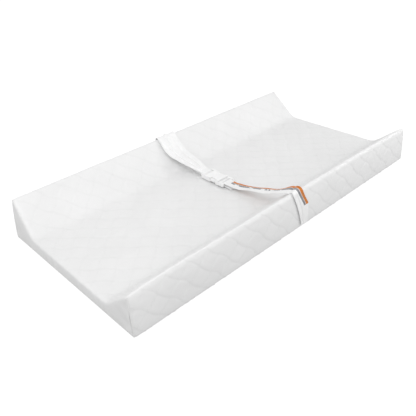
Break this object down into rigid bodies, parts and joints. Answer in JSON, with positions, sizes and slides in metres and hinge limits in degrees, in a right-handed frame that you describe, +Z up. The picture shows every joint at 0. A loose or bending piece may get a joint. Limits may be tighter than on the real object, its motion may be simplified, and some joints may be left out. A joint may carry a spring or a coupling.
{
  "type": "changing pad",
  "caption": "Contour changing pad with two raised long sides, a quilted wipe-clean cover over foam, a safety belt with a side-release buckle and fold-out anchor tabs.",
  "frame": {"origin": "middle of the base, on the surface that the pad lies on", "axes": "+X along the pad's length, +Y across it towards the far long side, where the belt's socket half comes from, +Z up"},
  "size_m": [0.813, 0.4092, 0.0952],
  "materials": {
    "quilted_vinyl": "soft wipe-clean vinyl face, quilted",
    "plain_vinyl": "soft wipe-clean vinyl face, plain",
    "grip_backing": "matt non-slip dotted backing",
    "foam": "open-cell polyurethane foam",
    "wadding": "polyester fibre",
    "webbing": "soft woven polyester belt",
    "buckle_plastic": "satin white acetal",
    "eyelet_steel": "nickel-plated steel"
  },
  "bodies": {
    "pad": {"foam_base_slab": "foam", "foam_bolster_near": "foam", "foam_bolster_far": "foam", "wadding_top": "wadding", "wadding_side_near": "wadding", "wadding_side_far": "wadding", "cover_top_panel": "quilted_vinyl", "cover_side_panel_near": "quilted_vinyl", "cover_side_panel_far": "quilted_vinyl", "cover_end_panel_left": "plain_vinyl", "cover_end_panel_right": "plain_vinyl", "cover_base_panel": "grip_backing", "belt_side_near": "webbing", "belt_side_far": "webbing"},
    "belt_far": {"belt_run_far": "webbing", "buckle_socket": "buckle_plastic"},
    "belt_near": {"belt_run_near": "webbing"},
    "plug": {"buckle_plug": "buckle_plastic"},
    "arm_left": {"buckle_arm_left": "buckle_plastic"},
    "arm_right": {"buckle_arm_right": "buckle_plastic"},
    "anchor_left": {"anchor_tab_left": "webbing", "anchor_eyelet_left": "eyelet_steel"},
    "anchor_right": {"anchor_tab_right": "webbing", "anchor_eyelet_right": "eyelet_steel"}
  },
  "joints": [
    {"name": "belt_far_lift", "type": "hinge", "parent": "pad", "child": "belt_far", "pos_m": [0, 0.203, 0.0942], "axis": [-1, 0, 0], "range_deg": [0, 170]},
    {"name": "belt_near_lift", "type": "hinge", "parent": "pad", "child": "belt_near", "pos_m": [0, -0.203, 0.0942], "axis": [1, 0, 0], "range_deg": [0, 170]},
    {"name": "plug_pull", "type": "slide", "parent": "belt_near", "child": "plug", "axis": [0, -1, 0], "range_m": [0, 0.032], "deforming": ["belt_run_near", "buckle_arm_left", "buckle_arm_right"]},
    {"name": "arm_left_press", "type": "hinge", "parent": "plug", "child": "arm_left", "pos_m": [-0.0096, 0.0046, 0.04], "axis": [0, 0, -1], "range_deg": [0, 7], "stiffness_Nm_per_rad": 0.15, "springref_deg": -2.86},
    {"name": "arm_right_press", "type": "hinge", "parent": "plug", "child": "arm_right", "pos_m": [0.0096, 0.0046, 0.04], "axis": [0, 0, 1], "range_deg": [0, 7], "stiffness_Nm_per_rad": 0.15, "springref_deg": -2.86},
    {"name": "anchor_left_fold_out", "type": "hinge", "parent": "pad", "child": "anchor_left", "pos_m": [-0.2965, 0.197, 0.0012], "axis": [1, 0, 0], "range_deg": [0, 180]},
    {"name": "anchor_right_fold_out", "type": "hinge", "parent": "pad", "child": "anchor_right", "pos_m": [0.2965, 0.197, 0.0012], "axis": [1, 0, 0], "range_deg": [0, 180]}
  ],
  "couplings": [
    {"joint": "arm_right_press", "follows": "arm_left_press", "ratio": 1}
  ]
}
